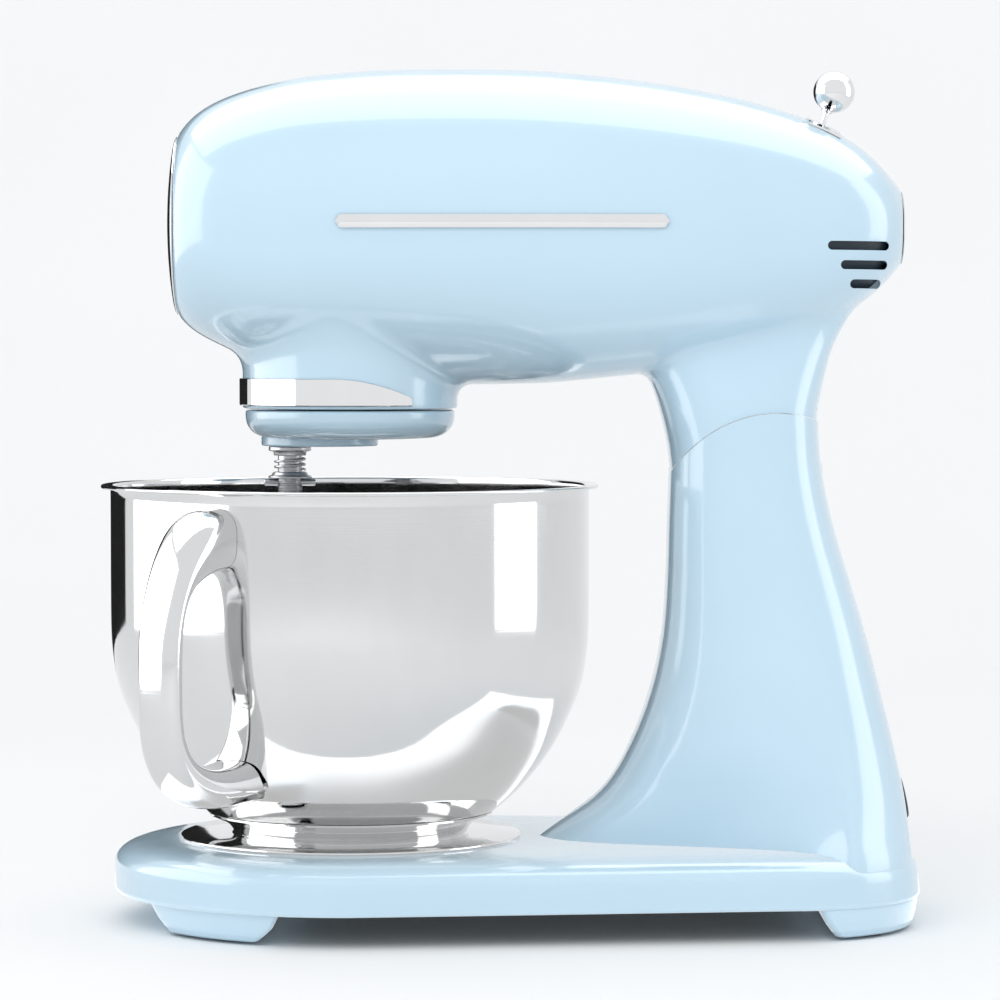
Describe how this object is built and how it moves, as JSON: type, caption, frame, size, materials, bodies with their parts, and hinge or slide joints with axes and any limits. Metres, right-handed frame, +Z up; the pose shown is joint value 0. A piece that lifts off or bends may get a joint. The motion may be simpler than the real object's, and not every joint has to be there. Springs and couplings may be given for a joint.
{
  "type": "stand mixer",
  "caption": "Tilt-head kitchen stand mixer with rounded body, geared planetary tool drive, side speed lever, and a lift-off steel bowl with a loop handle.",
  "frame": {"origin": "on the table, under the middle of the whole mixer's bounding box", "axes": "+X from the nose to the column, +Y to the mixer's far side when its nose is on the left, +Z up"},
  "size_m": [0.364, 0.2388, 0.3795],
  "materials": {
    "enamel": "gloss",
    "polished_steel": "polished",
    "chrome_trim": "polished",
    "turned_steel": "turned",
    "gear_steel": "oiled",
    "bronze": "satin",
    "cast_aluminium": "as cast",
    "dark_rubber": "matte",
    "dark_plastic": "matte",
    "board_green": "satin",
    "copper_winding": "lacquered"
  },
  "bodies": {
    "stand": {"stand_casting": "enamel", "foot_front_left": "dark_rubber", "foot_front_right": "dark_rubber", "foot_rear_left": "dark_rubber", "foot_rear_right": "dark_rubber", "hinge_bush_left": "bronze", "hinge_bush_right": "bronze", "cord_gland": "dark_rubber", "base_cover": "dark_plastic", "bowl_lock_plate": "turned_steel", "lock_screw_0": "turned_steel", "lock_screw_1": "turned_steel", "lock_screw_2": "turned_steel"},
    "release_button": {"release_button": "chrome_trim"},
    "head": {"head_housing": "enamel", "hinge_tongue": "cast_aluminium", "hinge_pin": "turned_steel", "vent_grille_left": "dark_plastic", "vent_grille_right": "dark_plastic", "side_trim_left": "chrome_trim", "side_trim_right": "chrome_trim", "boss_band": "chrome_trim", "drive_socket": "cast_aluminium", "rear_trim": "chrome_trim", "speed_plate": "chrome_trim", "lever_pin": "turned_steel", "control_board": "board_green", "gear_frame": "cast_aluminium", "main_bearing": "turned_steel", "ring_gear": "gear_steel", "motor_can": "turned_steel", "motor_stator": "copper_winding"},
    "nose_cap": {"nose_cap": "chrome_trim"},
    "speed_lever": {"lever_arm": "chrome_trim", "lever_knob": "chrome_trim"},
    "motor_rotor": {"rotor_shaft": "turned_steel", "rotor_core": "gear_steel", "motor_fan": "dark_plastic", "motor_pinion": "gear_steel"},
    "layshaft": {"lay_shaft": "turned_steel", "lay_pinion": "gear_steel", "lay_gear": "bronze"},
    "planetary": {"planetary_dish": "enamel", "main_shaft": "turned_steel", "main_gear": "gear_steel", "spindle_bush": "bronze"},
    "tool_spindle": {"tool_shaft": "turned_steel", "tool_journal": "turned_steel", "tool_pinion": "gear_steel", "tool_washer": "turned_steel", "cross_pin": "turned_steel", "tool_spring": "turned_steel"},
    "spring_collar": {"spring_collar": "turned_steel"},
    "bowl": {"bowl_shell": "polished_steel", "bowl_foot": "polished_steel", "bowl_handle": "polished_steel"}
  },
  "joints": [
    {"name": "head_tilt", "type": "hinge", "parent": "stand", "child": "head", "pos_m": [0.1178, 0.00815, 0.1735], "axis": [0, 1, 0], "range_deg": [0, 40]},
    {"name": "release_press", "type": "slide", "parent": "stand", "child": "release_button", "axis": [-1, 0, 0], "range_m": [0, 0.003], "stiffness_N_per_m": 600, "springref_m": -0.003},
    {"name": "bowl_lift", "type": "slide", "parent": "stand", "child": "bowl", "axis": [0, 0, 1], "range_m": [0, 0.04]},
    {"name": "nose_cap_pull", "type": "slide", "parent": "head", "child": "nose_cap", "axis": [-1, 0, 0], "range_m": [0, 0.03]},
    {"name": "speed_lever_swing", "type": "hinge", "parent": "head", "child": "speed_lever", "pos_m": [0.128, 0.00815, 0.3214], "axis": [0.9409, 0, -0.3387], "range_deg": [-22, 22]},
    {"name": "planetary_spin", "type": "hinge", "parent": "head", "child": "planetary", "pos_m": [-0.0707, 0.00815, 0.228], "axis": [0, 0, 1], "continuous": true},
    {"name": "layshaft_spin", "type": "hinge", "parent": "head", "child": "layshaft", "pos_m": [-0.0347, 0.00815, 0.262], "axis": [0, 0, 1], "continuous": true},
    {"name": "motor_spin", "type": "hinge", "parent": "head", "child": "motor_rotor", "pos_m": [-0.0022, 0.00815, 0.268], "axis": [0, 0, 1], "continuous": true},
    {"name": "tool_spin", "type": "hinge", "parent": "planetary", "child": "tool_spindle", "pos_m": [-0.0977, 0.00815, 0.228], "axis": [0, 0, 1], "continuous": true},
    {"name": "collar_push", "type": "slide", "parent": "tool_spindle", "child": "spring_collar", "axis": [0, 0, 1], "range_m": [0, 0.003], "stiffness_N_per_m": 800, "springref_m": -0.002, "deforming": ["tool_spring"]}
  ],
  "couplings": [
    {"joint": "layshaft_spin", "follows": "planetary_spin", "ratio": -3},
    {"joint": "motor_spin", "follows": "planetary_spin", "ratio": 10},
    {"joint": "tool_spin", "follows": "planetary_spin", "ratio": -4.6}
  ]
}
